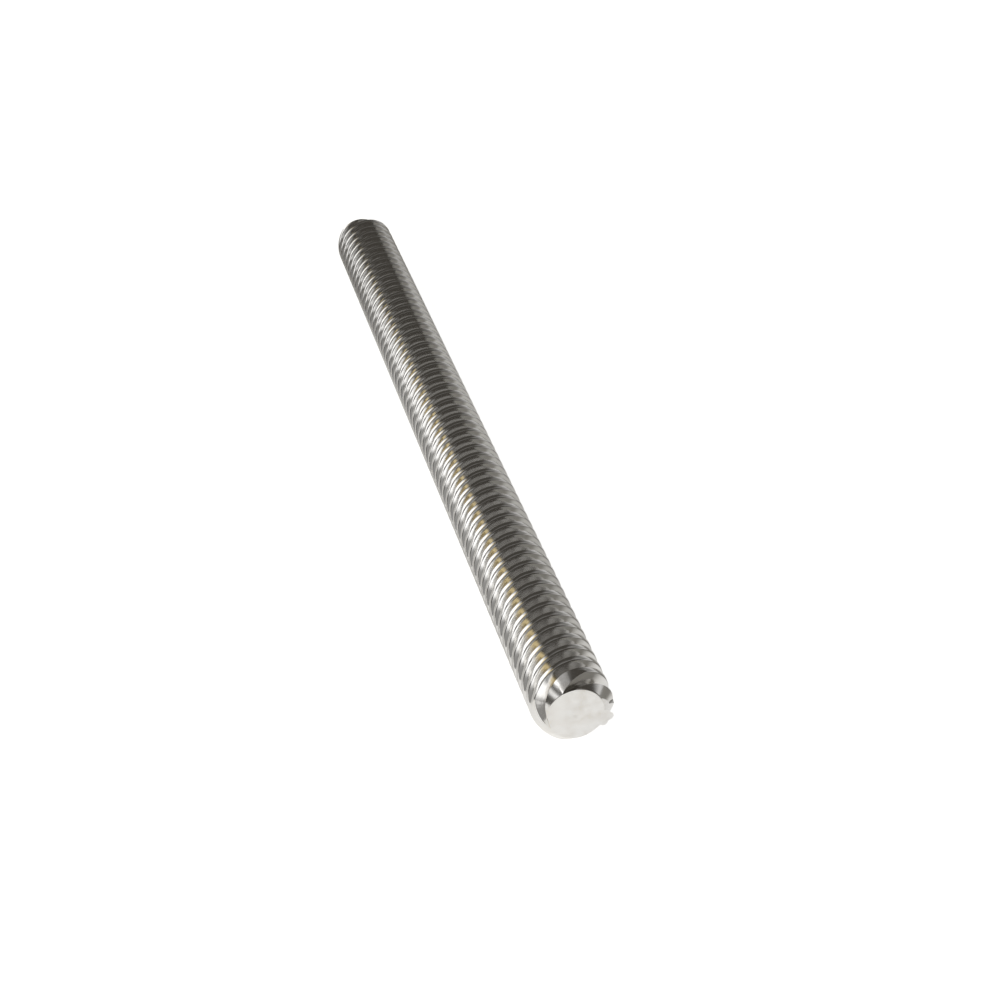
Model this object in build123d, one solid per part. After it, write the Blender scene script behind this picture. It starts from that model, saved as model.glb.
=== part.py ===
from build123d import *
import os
from math import ceil, radians, tan

# Trapezoidal lead screw: one bar, turned to the outside diameter, faced and
# chamfered at both ends, with several right-hand grooves cut side by side
# from end to end. It lies along Y, with the origin on its axis at mid-length.
# All lengths are in millimetres and all angles in degrees.

# Driving dimensions
OUTSIDE_DIAMETER = 8.0     # over the thread crests
SCREW_LENGTH = 120.0       # from end face to end face
THREAD_PITCH = 2.0         # along the axis, from one crest to the next
THREAD_STARTS = 4          # grooves cut side by side
PROFILE_ANGLE = 30.0       # between the two flanks of a groove
ROOT_CLEARANCE = 0.25      # extra depth below the crests of the nut's thread
FACE_DIAMETER = 5.6        # of the flat end face inside the chamfer
CHAMFER_LENGTH = 1.5       # along the axis
START_ANGLE = 42.5         # turn of the whole thread about the axis
CUTTER_OVERLAP = 0.3       # how far a cutter stands out of the bar

# Sizes that follow
outside_radius = OUTSIDE_DIAMETER / 2
pitch_radius = outside_radius - THREAD_PITCH / 4
root_radius = outside_radius - THREAD_PITCH / 2 - ROOT_CLEARANCE
cutter_radius = outside_radius + CUTTER_OVERLAP
thread_lead = THREAD_PITCH * THREAD_STARTS


def half_groove(radius):
    """Half the groove's width along the axis, at a radius."""
    return THREAD_PITCH / 4 + (radius - pitch_radius) * tan(radians(PROFILE_ANGLE / 2))


def chamfered_bar():
    """The plain bar before threading, standing on the origin along Z."""
    outline = Polyline(
        (0, 0),
        (FACE_DIAMETER / 2, 0),
        (outside_radius, CHAMFER_LENGTH),
        (outside_radius, SCREW_LENGTH - CHAMFER_LENGTH),
        (FACE_DIAMETER / 2, SCREW_LENGTH),
        (0, SCREW_LENGTH),
        close=True,
    )
    return revolve(Plane.XZ * make_face(outline), Axis.Z)


def groove_turn():
    """One full turn of the solid that cuts a groove, starting at Z = 0."""
    outline = Polyline(
        (root_radius, -half_groove(root_radius)),
        (cutter_radius, -half_groove(cutter_radius)),
        (cutter_radius, half_groove(cutter_radius)),
        (root_radius, half_groove(root_radius)),
        close=True,
    )
    path = Helix(pitch=thread_lead, height=thread_lead, radius=pitch_radius)
    return sweep(Plane.XZ * make_face(outline), path, is_frenet=True)


def grooves():
    """Every groove as whole turns, starting and ending clear of the bar."""
    run_out = half_groove(cutter_radius)
    turns = ceil((SCREW_LENGTH + 2 * run_out) / thread_lead)
    turn = groove_turn()
    spacing = 360 / THREAD_STARTS
    return [
        Rot(0, 0, spacing * start) * Pos(0, 0, thread_lead * level - run_out) * turn
        for start in range(THREAD_STARTS)
        for level in range(turns)
    ]


def lead_screw():
    """The finished screw along Y, centred on the origin."""
    upright = Pos(0, 0, -SCREW_LENGTH / 2) * (chamfered_bar() - grooves())
    return Rot(-90, 0, 0) * Rot(0, 0, START_ANGLE) * upright


os.makedirs("parts", exist_ok=True)
export_step(lead_screw(), "parts/lead_screw.step")
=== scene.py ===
"""A trapezoidal lead screw lying on a pale studio floor.

The screw is one bar of bright steel. Its thread was rolled, so the finish follows the helix, and
both of its ends were turned to a flat face inside a chamfer. The thread is made here again with a
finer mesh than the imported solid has, because bright metal shows each facet, and with the small
radius that rolling leaves along the crests.
"""

import logging
import math
from dataclasses import dataclass
from enum import Enum
from typing import Any

import bmesh
import bpy
from mathutils import Matrix, Vector

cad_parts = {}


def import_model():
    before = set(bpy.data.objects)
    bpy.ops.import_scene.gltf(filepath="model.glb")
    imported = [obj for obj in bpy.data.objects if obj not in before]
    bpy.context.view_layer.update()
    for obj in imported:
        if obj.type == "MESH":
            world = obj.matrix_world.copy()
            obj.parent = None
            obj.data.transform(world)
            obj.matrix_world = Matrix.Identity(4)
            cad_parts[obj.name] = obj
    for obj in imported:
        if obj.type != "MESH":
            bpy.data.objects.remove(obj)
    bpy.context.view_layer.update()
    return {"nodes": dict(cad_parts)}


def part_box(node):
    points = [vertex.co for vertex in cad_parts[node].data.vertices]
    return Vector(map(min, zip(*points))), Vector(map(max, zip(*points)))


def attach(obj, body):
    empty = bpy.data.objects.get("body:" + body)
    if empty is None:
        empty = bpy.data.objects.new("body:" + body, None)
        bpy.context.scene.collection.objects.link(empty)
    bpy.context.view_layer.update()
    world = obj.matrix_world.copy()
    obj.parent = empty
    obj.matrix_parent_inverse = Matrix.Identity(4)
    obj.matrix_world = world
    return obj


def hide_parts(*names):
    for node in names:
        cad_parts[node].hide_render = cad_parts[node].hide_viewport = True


LOG = logging.getLogger("lead_screw")
MM = 0.001
AXIS = Vector((0.0, 1.0, 0.0))
# What a place on the bar is multiplied by to leave out how far along the axis it is
CROSSWAYS = (1.0, 0.0, 1.0)

Tree = bpy.types.NodeTree
Socket = bpy.types.NodeSocket


class Finish(Enum):
    """The two ways in which the bar's surface was made, as its material slots."""

    ROLLED = 0
    TURNED = 1


def linear(colour: str) -> tuple[float, float, float, float]:
    """Turn an sRGB hex colour into linear light.

    Args:
        colour: Six hex digits after a number sign.

    Returns:
        Red, green, blue and an alpha of 1.
    """
    shares = [int(colour[i:i + 2], 16) / 255 for i in (1, 3, 5)]
    red, green, blue = [
        c / 12.92 if c <= 0.04045 else ((c + 0.055) / 1.055) ** 2.4 for c in shares
    ]
    return red, green, blue, 1.0


def add(tree: Tree, kind: str, links: dict[str | int, Any] | None = None,
        **settings: Any) -> bpy.types.Node:
    """Add a node with its settings and what goes into it.

    Args:
        tree: The node tree that gets the node.
        kind: The node's type name.
        links: What each input gets, by the input's name or number: a socket to link, or a value.
        **settings: The node's own settings.

    Returns:
        The new node.
    """
    node = tree.nodes.new(kind)
    for name, value in settings.items():
        setattr(node, name, value)
    for name, value in (links or {}).items():
        if isinstance(value, Socket):
            tree.links.new(value, node.inputs[name])
        else:
            node.inputs[name].default_value = value
    return node


def calc(tree: Tree, operation: str, *values: Any) -> Socket:
    """Add a node that works on numbers.

    Args:
        tree: The node tree that gets the node.
        operation: What the node does.
        *values: Its inputs in their order, each a socket to link or a number.

    Returns:
        The result.
    """
    return add(tree, "ShaderNodeMath", dict(enumerate(values)), operation=operation).outputs[0]


def calc_vector(tree: Tree, operation: str, *values: Any) -> Socket:
    """Add a node that works on vectors.

    Args:
        tree: The node tree that gets the node.
        operation: What the node does.
        *values: Its inputs in their order, each a socket to link or a vector.

    Returns:
        The result, which is a number for a length or a dot product.
    """
    node = add(tree, "ShaderNodeVectorMath", dict(enumerate(values)), operation=operation)
    return node.outputs["Value" if operation in ("LENGTH", "DOT_PRODUCT") else "Vector"]


def from_axis(tree: Tree, place: Socket) -> Socket:
    """Measure how far a place on the bar is from its axis.

    Args:
        tree: The material's node tree.
        place: The place on the bar.

    Returns:
        The distance, in the unit of the place.
    """
    return calc_vector(tree, "LENGTH", calc_vector(tree, "MULTIPLY", place, CROSSWAYS))


@dataclass(frozen=True)
class BrightSteel:
    """Plain carbon steel left bright: a clear grey metal, crisp in its reflections.

    To the eye it is nearly a mirror, which the marks of its making break up a little. Lengths are
    in millimetres.
    """

    name: str
    # Colour and roughness where it is bright, and where it is stained; on the thread that darker
    # colour is painted shade in the grooves, clouded by the oil film
    colour: str
    stained_and_shaded: str
    sheen: float
    dullness: float
    # The marks: how deep they are, how fine their pattern is and how much they change the roughness
    mark_depth: float
    mark_detail: float = 3.0
    mark_roughness: float = 0.6
    unevenness: float = 0.08

    def marks(self, tree: Tree, place: Socket) -> Socket:
        """Lay out the marks of how the surface was made; each finish has its own.

        Args:
            tree: The material's node tree.
            place: The place on the bar, in millimetres.

        Returns:
            The coordinates of a pattern that follows the marks.
        """
        raise NotImplementedError

    def stains_and_painted_shade(self, tree: Tree, place: Socket) -> Socket:
        """Say how stained the metal is, and on the thread how much painted shade it has; each
        finish has its own.

        Args:
            tree: The material's node tree.
            place: The place on the bar, in millimetres.

        Returns:
            From nothing where it is bright to one where it takes its stained and shaded colour
            fully.
        """
        raise NotImplementedError

    def material(self) -> bpy.types.Material:
        """Make the material, or find it if it is made.

        Returns:
            The material.
        """
        if self.name in bpy.data.materials:
            return bpy.data.materials[self.name]
        steel = bpy.data.materials.new(self.name)
        steel.use_nodes = True
        tree = steel.node_tree
        tree.nodes.clear()
        place = add(tree, "ShaderNodeVectorMath", {
            0: add(tree, "ShaderNodeTexCoord").outputs["Object"],
            "Scale": 1 / MM,
        }, operation="SCALE").outputs[0]
        marks = add(tree, "ShaderNodeTexNoise", {
            "Vector": self.marks(tree, place),
            "Scale": 1.0,
            "Detail": self.mark_detail,
            "Roughness": self.mark_roughness,
        }).outputs["Fac"]
        # Where the metal takes its darker colour: stains on the turned ends, painted shade in the
        # thread's grooves
        stains_and_painted_shade = self.stains_and_painted_shade(tree, place)
        tint = add(tree, "ShaderNodeMix", {
            "Factor": stains_and_painted_shade,
            "A": linear(self.colour),
            "B": linear(self.stained_and_shaded),
        }, data_type="RGBA")
        rough = add(tree, "ShaderNodeMapRange", {0: stains_and_painted_shade, 3: self.sheen, 4: self.dullness})
        rough = calc(tree, "MULTIPLY_ADD", marks, self.unevenness, rough.outputs[0])
        relief = add(tree, "ShaderNodeBump", {
            "Height": marks,
            "Strength": 1.0,
            "Distance": self.mark_depth * MM,
        })
        metal = add(tree, "ShaderNodeBsdfPrincipled", {
            "Base Color": tint.outputs["Result"],
            "Metallic": 1.0,
            "Roughness": calc(tree, "SUBTRACT", rough, self.unevenness / 2),
            "Normal": relief.outputs[0],
        })
        add(tree, "ShaderNodeOutputMaterial", {"Surface": metal.outputs[0]})
        return steel


@dataclass(frozen=True)
class RolledSteel(BrightSteel):
    """Bright steel whose thread was rolled, with painted shade and a film of old oil in its
    grooves.

    To the eye the burnished crests are the brightest, and the grooves are softer and greyer, with
    painted shade that deepens towards the root and is uneven where the oil film is. Fine streaks
    follow the helix. The real streaks are too fine to show, so these are coarser.
    """

    name: str = "rolled_bright_steel"
    colour: str = "#E8E7E5"
    # The darker colour is painted shade in the grooves, uneven where the oil film is
    stained_and_shaded: str = "#D2CFCA"
    sheen: float = 0.08
    dullness: float = 0.15
    mark_depth: float = 0.004
    # The thread that the finish follows: its lead and its two radii
    lead: float = 8.0
    crest: float = 4.0
    root: float = 2.75
    # Streaks in a millimetre, across the helix and along it
    streaks: tuple[float, float, float] = (9.0, 0.35, 9.0)
    # The painted shade in the grooves: how near the crest and the root it stops deepening, and how
    # much the crest gets; then how cloudy the oil film is, which makes it uneven
    shade_margin: float = 0.1
    crest_shade: float = 0.1
    cloud_scale: float = 0.35
    cloud_detail: float = 4.0
    cloud_range: tuple[float, float] = (0.3, 0.7)
    thinnest_film: float = 0.35

    def marks(self, tree: Tree, place: Socket) -> Socket:
        """Untwist the bar, so that the streaks run along the helix as the rolling dies did.

        Args:
            tree: The material's node tree.
            place: The place on the bar, in millimetres.

        Returns:
            Coordinates that are fine across the helix and long along it.
        """
        along = add(tree, "ShaderNodeSeparateXYZ", {0: place}).outputs["Y"]
        flat = add(tree, "ShaderNodeVectorRotate", {
            "Vector": place,
            "Angle": calc(tree, "MULTIPLY", along, -math.tau / self.lead),
        }, rotation_type="Y_AXIS")
        return calc_vector(tree, "MULTIPLY", flat.outputs[0], self.streaks)

    def stains_and_painted_shade(self, tree: Tree, place: Socket) -> Socket:
        """Darken the grooves as painted shade that deepens towards the root, unevenly as a film of
        old oil does, and leave the crests bright.

        Args:
            tree: The material's node tree.
            place: The place on the bar, in millimetres.

        Returns:
            From nothing on the crests to one deep in the grooves where the oil film is thickest.
        """
        # Painted shade: darker from the crest down towards the root of each groove
        depth = add(tree, "ShaderNodeMapRange", {
            0: from_axis(tree, place),
            1: self.crest - self.shade_margin,
            2: self.root + self.shade_margin,
            3: self.crest_shade,
            4: 1.0,
        })
        clouds = add(tree, "ShaderNodeTexNoise", {
            "Vector": place,
            "Scale": self.cloud_scale,
            "Detail": self.cloud_detail,
        })
        low, high = self.cloud_range
        film = add(tree, "ShaderNodeMapRange", {
            0: clouds.outputs["Fac"],
            1: low,
            2: high,
            3: self.thinnest_film,
            4: 1.0,
        })
        return calc(tree, "MULTIPLY", depth.outputs[0], film.outputs[0])


@dataclass(frozen=True)
class TurnedSteel(BrightSteel):
    """Bright steel cut on a lathe.

    To the eye it is paler and more matt than the thread, with faint rings round the axis and
    fainter stains. The real rings are too fine to show, so these are coarser.
    """

    name: str = "turned_bright_steel"
    colour: str = "#EBEAE8"
    stained_and_shaded: str = "#E0DDD8"
    sheen: float = 0.16
    dullness: float = 0.26
    mark_depth: float = 0.0015
    # Rings in a millimetre, and the stains' size and spread
    rings: tuple[float, float, float] = (8.0, 8.0, 8.0)
    cloud_scale: float = 0.9
    cloud_detail: float = 5.0
    cloud_range: tuple[float, float] = (0.4, 0.7)

    def marks(self, tree: Tree, place: Socket) -> Socket:
        """Turn the place into radius and length, so that the marks are rings.

        Args:
            tree: The material's node tree.
            place: The place on the bar, in millimetres.

        Returns:
            Coordinates that change only away from the axis and along it.
        """
        along = add(tree, "ShaderNodeSeparateXYZ", {0: place}).outputs["Y"]
        ring = add(tree, "ShaderNodeCombineXYZ", {"X": from_axis(tree, place), "Y": along})
        return calc_vector(tree, "MULTIPLY", ring.outputs[0], self.rings)

    def stains_and_painted_shade(self, tree: Tree, place: Socket) -> Socket:
        """Spread faint stains over the cut ends.

        Args:
            tree: The material's node tree.
            place: The place on the bar, in millimetres.

        Returns:
            From nothing where it is clean to one where it is stained.
        """
        clouds = add(tree, "ShaderNodeTexNoise", {
            "Vector": place,
            "Scale": self.cloud_scale,
            "Detail": self.cloud_detail,
        })
        low, high = self.cloud_range
        return add(tree, "ShaderNodeMapRange", {
            0: clouds.outputs["Fac"],
            1: low,
            2: high,
        }).outputs[0]


@dataclass(frozen=True)
class Burr:
    """A lip of metal that facing the end left on its rim.

    The angle is in degrees from the top, over the right side, and so is half the lip's width. The
    height is in millimetres.
    """

    angle: float
    half_width: float
    height: float

    def rise(self, angle: float) -> float:
        """Work out how far the lip stands out of the rim.

        Args:
            angle: Degrees from the top, over the right side.

        Returns:
            The lip's height there, in millimetres.
        """
        off = abs((angle - self.angle + 180) % 360 - 180) / self.half_width
        return self.height * max(0.0, 1 - off ** 2) ** 0.5


@dataclass
class LeadScrew:
    """The screw, with its sizes in millimetres and its angles in degrees."""

    length: float
    outside_diameter: float
    pitch: float = 2.0
    starts: int = 4
    profile_angle: float = 30.0
    root_clearance: float = 0.25
    face_diameter: float = 5.6
    chamfer_length: float = 1.5
    groove_angle: float = -16.5
    # Radii of the worn edges, and how many faces go round each
    crest_radius: float = 0.16
    crest_faces: int = 4
    root_radius: float = 0.1
    root_faces: int = 2
    rim_radius: float = 0.2
    rim_faces: int = 3
    # How fine the spun shapes are
    steps_per_turn: int = 60
    face_steps: int = 180
    # How much longer than the bar the thread is before it is cut to length
    face_margin: float = 1.0
    # How far apart vertices may be and still be one, in the thread and at the faces' centres
    weld: float = 0.0001
    centre_weld: float = 0.00001
    sharp_angle: float = 30.0
    # The dimple that facing leaves in the near face, and the lip on its rim
    centre_mark: float = 0.22
    burrs: tuple[Burr, ...] = (Burr(102.0, 13.0, 0.95), Burr(117.0, 9.0, 0.6))
    rolled: RolledSteel = RolledSteel()
    turned: TurnedSteel = TurnedSteel()
    name: str = "bright_lead_screw"

    @property
    def lead(self) -> float:
        """How far the thread advances in one turn."""
        return self.pitch * self.starts

    def half_groove(self, radius: float) -> float:
        """Work out half the groove's width along the axis.

        Args:
            radius: How far from the axis it is measured.

        Returns:
            Half the width, which is a quarter of the pitch at the pitch diameter.
        """
        pitch_radius = self.outside_diameter / 2 - self.pitch / 4
        slope = math.tan(math.radians(self.profile_angle / 2))
        return self.pitch / 4 + (radius - pitch_radius) * slope

    def outline(self, points: list[tuple[float, float]]) -> bmesh.types.BMesh:
        """Join points in the plane over the axis.

        Args:
            points: How far along the axis and how far above it each point is.

        Returns:
            The points as vertices, in their order, with an edge from each to the next.
        """
        shape = bmesh.new()
        verts = [shape.verts.new((0.0, along, above)) for along, above in points]
        for first, second in zip(verts, verts[1:]):
            shape.edges.new((first, second))
        shape.verts.ensure_lookup_table()
        return shape

    def round_off(self, shape: bmesh.types.BMesh, corners: list[bmesh.types.BMVert],
                  offset: float, faces: int) -> None:
        """Round corners of an outline.

        Args:
            shape: The outline.
            corners: Its vertices to round.
            offset: How far from the corner the rounding starts.
            faces: How many parts the rounding has.
        """
        bmesh.ops.bevel(
            shape,
            geom=corners,
            offset=offset,
            offset_type="OFFSET",
            affect="VERTICES",
            segments=faces,
            profile=0.5,
            material=-1,
        )

    def ridge(self) -> bmesh.types.BMesh:
        """Make the outline of one ridge, from groove to groove, above the axis.

        Returns:
            The outline, with its crest and its roots rounded.
        """
        crest = self.outside_diameter / 2
        root = crest - self.pitch / 2 - self.root_clearance
        shape = self.outline([
            (0.0, root),
            (self.half_groove(root), root),
            (self.half_groove(crest), crest),
            (self.pitch - self.half_groove(crest), crest),
            (self.pitch - self.half_groove(root), root),
            (self.pitch, root),
        ])
        verts = shape.verts[:]
        half_turn = math.radians(90 - self.profile_angle / 2) / 2
        self.round_off(shape, verts[2:4], self.crest_radius * math.tan(half_turn),
                       self.crest_faces)
        self.round_off(shape, verts[1:5:3], self.root_radius * math.tan(half_turn),
                       self.root_faces)
        return shape

    def thread(self) -> bmesh.types.BMesh:
        """Spin the ridges into a thread that is longer than the bar at both ends.

        Returns:
            The thread's open surface.
        """
        shape = self.ridge()
        turns = math.ceil(self.length / self.lead) + 2
        start = AXIS * (-self.length / 2 - self.lead)
        phase = Matrix.Rotation(math.radians(self.groove_angle), 3, "Y")
        bmesh.ops.translate(shape, verts=shape.verts, vec=start)
        bmesh.ops.rotate(shape, verts=shape.verts, matrix=phase)
        bmesh.ops.spin(
            shape,
            geom=shape.verts[:] + shape.edges[:],
            axis=AXIS,
            dvec=AXIS * (self.lead / self.steps_per_turn),
            angle=math.tau * turns,
            steps=self.steps_per_turn * turns,
        )
        bmesh.ops.spin(
            shape,
            geom=shape.verts[:] + shape.edges[:] + shape.faces[:],
            axis=AXIS,
            angle=math.tau * (self.starts - 1) / self.starts,
            steps=self.starts - 1,
            use_duplicate=True,
        )
        return shape

    def envelope(self) -> bmesh.types.BMesh:
        """Spin the plain bar's outline: a flat face and a chamfer at each end, wider between them.

        Returns:
            A closed shape that cuts the thread to the bar's ends.
        """
        face = self.face_diameter / 2
        crest = self.outside_diameter / 2
        half = self.length / 2
        # The chamfers run on past the crests, so that only the ends are cut
        flare = 2.0
        inset = self.chamfer_length * flare
        wide = face + (crest - face) * flare
        shape = self.outline([
            (-half + self.centre_mark / 2, 0.0),
            (-half, self.centre_mark),
            (-half, face),
            (-half + inset, wide),
            (half - inset, wide),
            (half, face),
            (half, 0.0),
        ])
        # From so blunt a corner, a rounding starts at about this share of its radius
        share = 0.45
        rims = [shape.verts[2], shape.verts[5]]
        self.round_off(shape, rims, self.rim_radius * share, self.rim_faces)
        bmesh.ops.spin(
            shape,
            geom=shape.verts[:] + shape.edges[:],
            axis=AXIS,
            angle=math.tau,
            steps=self.face_steps,
            use_merge=True,
        )
        bmesh.ops.remove_doubles(shape, verts=shape.verts, dist=self.centre_weld)
        self.raise_burrs(shape)
        bmesh.ops.recalc_face_normals(shape, faces=shape.faces)
        for part in shape.faces:
            part.material_index = Finish.TURNED.value
        return shape

    def raise_burrs(self, shape: bmesh.types.BMesh) -> None:
        """Push the near rim out where it has a lip.

        Args:
            shape: The spun bar, which is changed.
        """
        rim_end = self.rim_radius - self.length / 2
        # The rim is the outer tenth of the face and the rounding past it
        rim_start = 0.9 * self.face_diameter / 2
        for vert in shape.verts:
            away = Vector((vert.co.x, 0.0, vert.co.z))
            if vert.co.y < rim_end and away.length > rim_start:
                angle = math.degrees(math.atan2(away.x, away.z))
                vert.co += away.normalized() * max(burr.rise(angle) for burr in self.burrs)

    def build(self) -> bpy.types.Object:
        """Cut the thread to the bar's outline and dress it.

        Returns:
            The finished screw, at the origin, with its place in its mesh.
        """
        thread = self.thread()
        bmesh.ops.remove_doubles(thread, verts=thread.verts, dist=self.weld)
        for end in (-1, 1):
            bmesh.ops.bisect_plane(
                thread,
                geom=thread.verts[:] + thread.edges[:] + thread.faces[:],
                plane_co=AXIS * end * (self.length / 2 + self.face_margin),
                plane_no=AXIS * end,
                clear_outer=True,
            )
        open_edges = [edge for edge in thread.edges if edge.is_boundary]
        bmesh.ops.holes_fill(thread, edges=open_edges, sides=0)
        bmesh.ops.recalc_face_normals(thread, faces=thread.faces)
        bar = self.shown(thread, self.name)
        cutter = self.shown(self.envelope(), "turning")
        trim = bar.modifiers.new("ends", "BOOLEAN")
        trim.operation = "INTERSECT"
        trim.solver = "EXACT"
        trim.object = cutter
        evaluated = bar.evaluated_get(bpy.context.evaluated_depsgraph_get())
        trimmed = bpy.data.meshes.new_from_object(evaluated)
        bar.modifiers.clear()
        bar.data = trimmed
        bpy.data.objects.remove(cutter)
        trimmed.transform(Matrix.Scale(MM, 4))
        trimmed.shade_smooth()
        trimmed.set_sharp_from_angle(angle=math.radians(self.sharp_angle))
        return bar

    def shown(self, shape: bmesh.types.BMesh, name: str) -> bpy.types.Object:
        """Turn a bmesh into an object in the scene, with a slot for each finish.

        Args:
            shape: The bmesh, which is freed.
            name: The object's name.

        Returns:
            The new object.
        """
        mesh = bpy.data.meshes.new(name)
        shape.to_mesh(mesh)
        shape.free()
        mesh.materials.append(self.rolled.material())
        mesh.materials.append(self.turned.material())
        piece = bpy.data.objects.new(name, mesh)
        bpy.context.scene.collection.objects.link(piece)
        return piece


@dataclass(frozen=True)
class Glow:
    """A pale patch of the studio's walls with soft edges, measured by the angles it fills.

    All of its angles are in degrees, as seen from the bar. The azimuth is 0 behind the near end,
    90 on the left, 180 ahead and 270 on the right. The patch leans over by turning on its middle.
    A patch of negative radiance darkens what it lies on.
    """

    azimuth: float
    elevation: float
    width: float
    height: float
    radiance: float
    edge: float
    colour: str = "#FFFFFF"
    lean: float = 0.0

    def within(self, tree: Tree, angle: Socket, size: float) -> Socket:
        """Fade a patch out past its sides.

        Args:
            tree: The world's node tree.
            angle: The angle from the middle of the patch, in radians.
            size: The whole angle that the patch fills, in degrees.

        Returns:
            One inside the patch and nothing past its soft edge.
        """
        return add(tree, "ShaderNodeMapRange", {
            0: calc(tree, "ABSOLUTE", angle),
            1: math.radians(max(size / 2 - self.edge, 0.0)),
            2: math.radians(size / 2 + self.edge),
            3: 1.0,
            4: 0.0,
        }, interpolation_type="SMOOTHSTEP").outputs[0]

    def shine(self, tree: Tree, heading: Socket) -> Socket:
        """Work out the patch's light in every direction.

        Args:
            tree: The world's node tree.
            heading: The direction looked in.

        Returns:
            The light, as a colour.
        """
        turn = math.radians(self.azimuth)
        middle = (-math.sin(turn), -math.cos(turn), 0.0)
        leftwards = (-math.cos(turn), math.sin(turn), 0.0)
        ahead = calc_vector(tree, "DOT_PRODUCT", heading, middle)
        across = calc_vector(tree, "DOT_PRODUCT", heading, leftwards)
        height = add(tree, "ShaderNodeSeparateXYZ", {0: heading}).outputs["Z"]
        rise = calc(tree, "ARCSINE", height)
        spot = add(tree, "ShaderNodeCombineXYZ", {
            "X": calc(tree, "ARCTAN2", across, ahead),
            "Y": calc(tree, "SUBTRACT", rise, math.radians(self.elevation)),
        })
        spot = add(tree, "ShaderNodeVectorRotate", {
            "Vector": spot.outputs[0],
            "Angle": math.radians(-self.lean),
        }, rotation_type="Z_AXIS")
        spot = add(tree, "ShaderNodeSeparateXYZ", {0: spot.outputs[0]})
        inside = calc(tree, "MULTIPLY", self.within(tree, spot.outputs["X"], self.width),
                      self.within(tree, spot.outputs["Y"], self.height))
        tint = Vector(linear(self.colour)[:3]) * self.radiance
        return add(tree, "ShaderNodeVectorMath", {0: tint, "Scale": inside},
                   operation="SCALE").outputs[0]


@dataclass(frozen=True)
class Fade:
    """A soft change in the floor's light between two lines across it, in millimetres."""

    start: float
    end: float
    light_at_start: float
    light_at_end: float

    def light(self, tree: Tree, place: Socket) -> Socket:
        """Work out the floor's light at a place.

        Args:
            tree: The floor's node tree.
            place: How far across the lines it is, in metres.

        Returns:
            The light there.
        """
        return add(tree, "ShaderNodeMapRange", {
            0: place,
            1: self.start * MM,
            2: self.end * MM,
            3: self.light_at_start,
            4: self.light_at_end,
        }, interpolation_type="SMOOTHSTEP").outputs[0]


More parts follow.
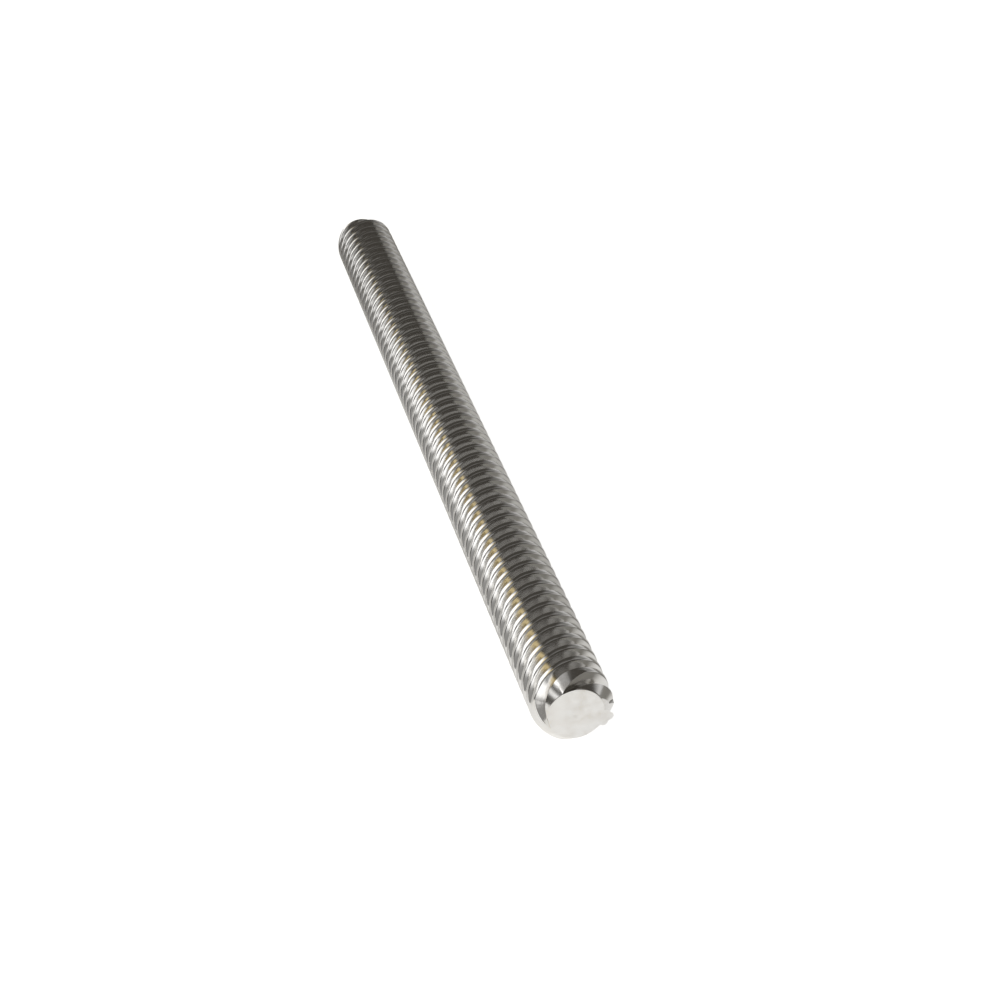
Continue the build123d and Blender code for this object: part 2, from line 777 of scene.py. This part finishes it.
@dataclass
class Studio:
    """The pale floor, the walls with their light and the camera, in millimetres and degrees."""

    # The floor's height is the only length here in metres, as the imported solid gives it
    floor_height: float
    floor_size: float = 6000.0
    floor_colour: str = "#F4F4F3"
    # Where the camera looks, and where it stands from there
    aim: tuple[float, float, float] = (2.17, -18.68, 0.0)
    azimuth: float = 13.03
    elevation: float = 29.70
    distance: float = 224.1
    lens: float = 72.0
    near_clip: float = 10.0
    # How light the floor is to the eye beyond what the walls give it
    floor_lift: float = 0.97
    # How light the floor is in the steel: palest before the near end, dim ahead and on the right,
    # past a line that slants with the way the bar is seen
    near_floor: Fade = Fade(-45.0, -60.0, 0.36, 0.78)
    right_floor: Fade = Fade(18.0, 27.0, 1.0, 0.0)
    far_floor: Fade = Fade(20.0, 60.0, 1.0, 0.1)
    right_slant: float = 0.17
    # How light the walls are between the patches
    dim_light: float = 0.062
    dim_colour: str = "#FFF6E8"
    glows: tuple[Glow, ...] = (
        # A wide window on the left and ahead, a long lamp beside it and a cream blind above it
        Glow(130.0, 9.0, width=56.0, height=40.0, radiance=1.42, edge=6.0),
        Glow(72.0, 27.0, width=70.0, height=10.0, radiance=1.15, edge=4.0),
        Glow(136.0, 40.0, width=34.0, height=22.0, radiance=0.9, edge=5.0, colour="#FFE9AE"),
        # A lamp behind the near end, for its face and chamfer, with a dimmer wing on each side
        Glow(0.0, 22.0, width=24.0, height=16.0, radiance=1.35, edge=5.0),
        Glow(20.0, 20.0, width=14.0, height=10.0, radiance=0.2, edge=5.0),
        Glow(-22.0, 20.0, width=14.0, height=10.0, radiance=0.45, edge=5.0),
        # The wall below that lamp, the ceiling above it and a small bright lamp high on the left
        Glow(22.0, 8.0, width=50.0, height=18.0, radiance=0.26, edge=6.0),
        Glow(30.0, 58.0, width=60.0, height=26.0, radiance=0.36, edge=8.0),
        Glow(52.0, 49.0, width=12.0, height=9.0, radiance=2.0, edge=3.0),
        # The pale foot of the wall on the right, which fades upwards
        Glow(246.0, 2.0, width=92.0, height=18.0, radiance=0.52, edge=7.0),
        Glow(270.0, 15.0, width=30.0, height=16.0, radiance=0.25, edge=6.0),
        Glow(244.0, 26.0, width=70.0, height=34.0, radiance=0.15, edge=8.0),
        # The ceiling ahead, which comes lower on the right
        Glow(184.0, 54.0, width=80.0, height=18.0, radiance=0.2, edge=6.0),
        Glow(226.0, 38.0, width=32.0, height=20.0, radiance=0.1, edge=5.0),
        # A dark bar that leans over the window, for a thin dark line along each groove
        Glow(130.0, 28.0, width=38.0, height=4.5, radiance=-1.7, edge=1.5, lean=51.0),
    )

    def place(self, azimuth: float, elevation: float, distance: float) -> Vector:
        """Find a point round the aim.

        Args:
            azimuth: Degrees from behind the near end, towards the left.
            elevation: Degrees above the floor.
            distance: How far from the aim.

        Returns:
            The point, in metres.
        """
        turn, rise = math.radians(azimuth), math.radians(elevation)
        away = Vector((
            -math.sin(turn) * math.cos(rise),
            -math.cos(turn) * math.cos(rise),
            math.sin(rise),
        ))
        return (Vector(self.aim) + away * distance) * MM

    def camera(self) -> None:
        """Set the camera above the near end, looking along the bar."""
        view = bpy.data.cameras.new("camera")
        view.lens = self.lens
        view.clip_start = self.near_clip * MM
        stand = bpy.data.objects.new("camera", view)
        bpy.context.scene.collection.objects.link(stand)
        stand.location = self.place(self.azimuth, self.elevation, self.distance)
        looking = Vector(self.aim) * MM - stand.location
        stand.rotation_euler = looking.to_track_quat("-Z", "Y").to_euler()
        bpy.context.scene.camera = stand

    def floor_in_mirrors(self, tree: Tree) -> Socket:
        """Light the floor as bright metal shows it.

        Args:
            tree: The floor's node tree.

        Returns:
            The light that the floor adds to its own.
        """
        place = add(tree, "ShaderNodeTexCoord").outputs["Object"]
        place = add(tree, "ShaderNodeSeparateXYZ", {0: place})
        along = place.outputs["Y"]
        aside = calc(tree, "MULTIPLY_ADD", along, -self.right_slant, place.outputs["X"])
        light = calc(tree, "MULTIPLY", self.near_floor.light(tree, along),
                     self.right_floor.light(tree, aside))
        return calc(tree, "MULTIPLY", light, self.far_floor.light(tree, along))

    def floor(self) -> None:
        """Lay a pale floor under the bar."""
        shape = bmesh.new()
        bmesh.ops.create_grid(shape, x_segments=1, y_segments=1, size=self.floor_size / 2 * MM)
        bmesh.ops.translate(shape, verts=shape.verts, vec=(0.0, 0.0, self.floor_height))
        mesh = bpy.data.meshes.new("floor")
        shape.to_mesh(mesh)
        shape.free()
        # Matt paper: to the eye plain and white, with no gloss
        paint = bpy.data.materials.new("matt_paper")
        paint.use_nodes = True
        tree = paint.node_tree
        tree.nodes.clear()
        ray = add(tree, "ShaderNodeLightPath").outputs
        seen = calc(tree, "MAXIMUM", ray["Is Glossy Ray"], ray["Is Transmission Ray"])
        seen = calc(tree, "MULTIPLY", seen, self.floor_in_mirrors(tree))
        lift = calc(tree, "MULTIPLY_ADD", ray["Is Camera Ray"], self.floor_lift, seen)
        colour = linear(self.floor_colour)
        matt = add(tree, "ShaderNodeBsdfDiffuse", {"Color": colour})
        glow = add(tree, "ShaderNodeEmission", {"Color": colour, "Strength": lift})
        both = add(tree, "ShaderNodeAddShader", {0: matt.outputs[0], 1: glow.outputs[0]})
        add(tree, "ShaderNodeOutputMaterial", {"Surface": both.outputs[0]})
        mesh.materials.append(paint)
        ground = bpy.data.objects.new("floor", mesh)
        bpy.context.scene.collection.objects.link(ground)

    def walls(self) -> None:
        """Surround the bar with dim walls that have soft patches, and are white to the eye."""
        world = bpy.data.worlds.new("studio_walls")
        world.use_nodes = True
        tree = world.node_tree
        tree.nodes.clear()
        heading = add(tree, "ShaderNodeTexCoord").outputs["Generated"]
        seen = add(tree, "ShaderNodeLightPath").outputs["Is Camera Ray"]
        dim = Vector(linear(self.dim_colour)[:3]) * self.dim_light
        light: Socket | Vector = dim
        for glow in self.glows:
            light = calc_vector(tree, "ADD", light, glow.shine(tree, heading))
        light = calc_vector(tree, "MAXIMUM", light, dim)
        light = calc_vector(tree, "MAXIMUM", light, seen)
        lit = add(tree, "ShaderNodeBackground", {"Color": light})
        add(tree, "ShaderNodeOutputWorld", {"Surface": lit.outputs[0]})
        bpy.context.scene.world = world

    def build(self) -> None:
        """Set the whole studio."""
        bpy.context.scene.view_settings.view_transform = "Standard"
        self.camera()
        self.floor()
        self.walls()


def main() -> None:
    """Build the screw and the studio round it."""
    logging.basicConfig(level=logging.INFO, format="%(name)s: %(message)s")
    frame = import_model()
    LOG.info("nodes: %s", ", ".join(sorted(frame["nodes"])))
    low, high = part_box("lead_screw")
    screw = LeadScrew(length=(high.y - low.y) / MM, outside_diameter=(high.x - low.x) / MM)
    piece = screw.build()
    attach(piece, "root")
    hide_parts("lead_screw")
    LOG.info("%s: %d faces", piece.name, len(piece.data.polygons))
    Studio(floor_height=low.z).build()


if __name__ == "__main__":
    main()
